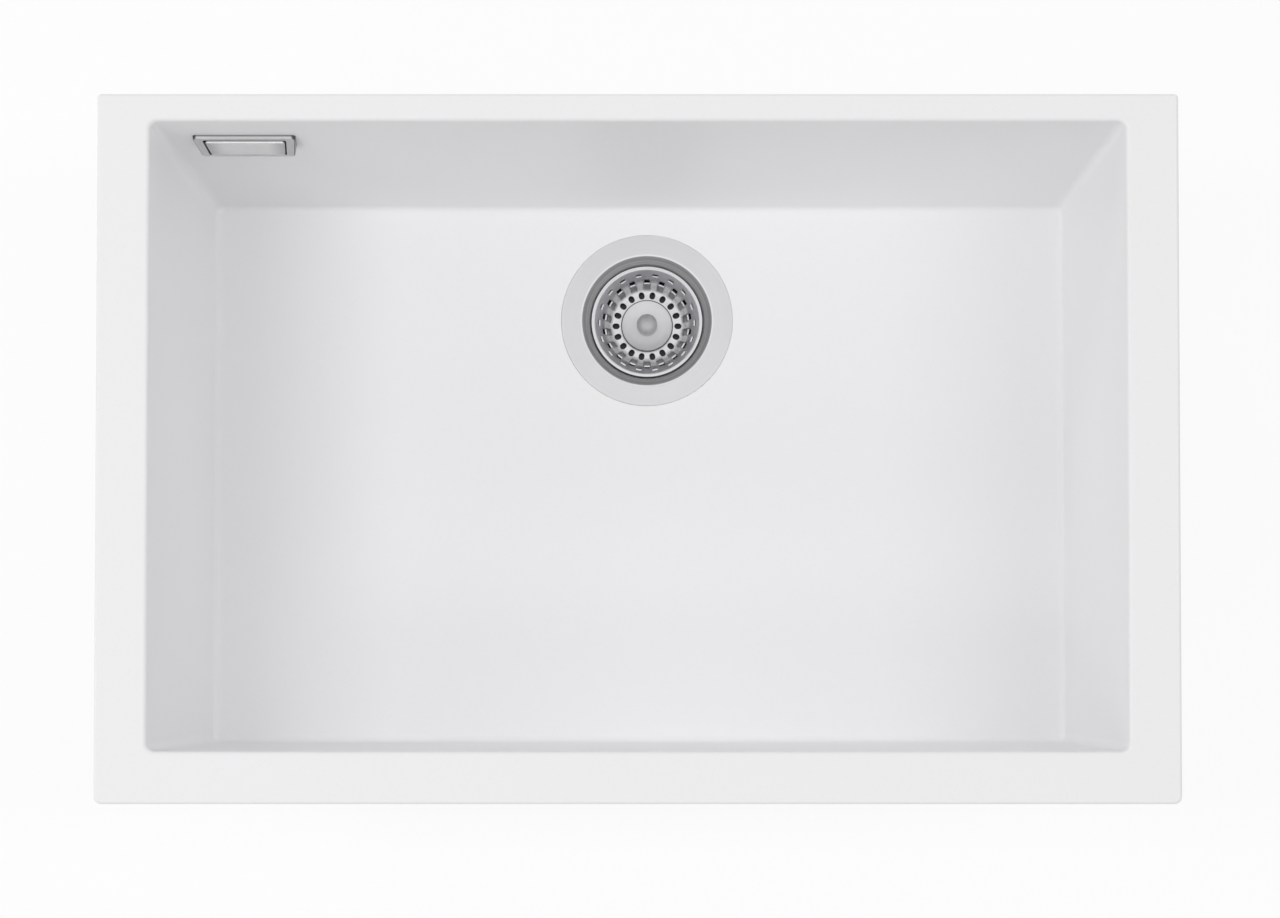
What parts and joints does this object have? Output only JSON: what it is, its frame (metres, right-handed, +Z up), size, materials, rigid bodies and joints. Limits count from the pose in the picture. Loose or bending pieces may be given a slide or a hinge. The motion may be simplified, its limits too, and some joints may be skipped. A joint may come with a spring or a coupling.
{
  "type": "kitchen sink",
  "caption": "Rectangular single-bowl kitchen sink with a flat drop-in rim, a lift-out basket strainer in a flush drain at the back, and a covered overflow piped to the waste.",
  "frame": {"origin": "middle of the rim's rectangular outline, on the rim's underside, which is the worktop's surface", "axes": "+X to the right of a person at the sink, +Y to the back, +Z up"},
  "size_m": [0.64, 0.4395, 0.302],
  "materials": {
    "composite": "fine-grained quartz composite, satin",
    "satin_steel": "satin stainless steel",
    "polished_steel": "polished stainless steel",
    "brass": "turned brass",
    "rubber": "black rubber",
    "waste_plastic": "white moulded polypropylene",
    "nut_plastic": "grey moulded polypropylene",
    "stopper_plastic": "black moulded plastic"
  },
  "bodies": {
    "sink": {"sink_bowl": "composite", "drain_flange": "satin_steel", "flange_seal": "rubber", "body_gasket": "rubber", "waste_body": "waste_plastic", "thread_insert": "brass", "hollow_bolt": "polished_steel", "overflow_frame": "polished_steel", "overflow_plate": "satin_steel", "overflow_screws": "polished_steel", "overflow_seal": "rubber", "overflow_elbow": "waste_plastic", "overflow_pipe": "waste_plastic", "upper_pipe_nut": "nut_plastic", "upper_pipe_washer": "rubber", "lower_pipe_nut": "nut_plastic", "lower_pipe_washer": "rubber"},
    "basket": {"basket_cup": "polished_steel", "basket_knob": "satin_steel", "stopper_plate": "stopper_plastic", "stopper_seal": "rubber", "stopper_stem": "polished_steel", "stem_ring": "rubber"}
  },
  "joints": [
    {"name": "basket_lift", "type": "slide", "parent": "sink", "child": "basket", "axis": [0, 0, 1], "range_m": [0, 0.26]}
  ]
}
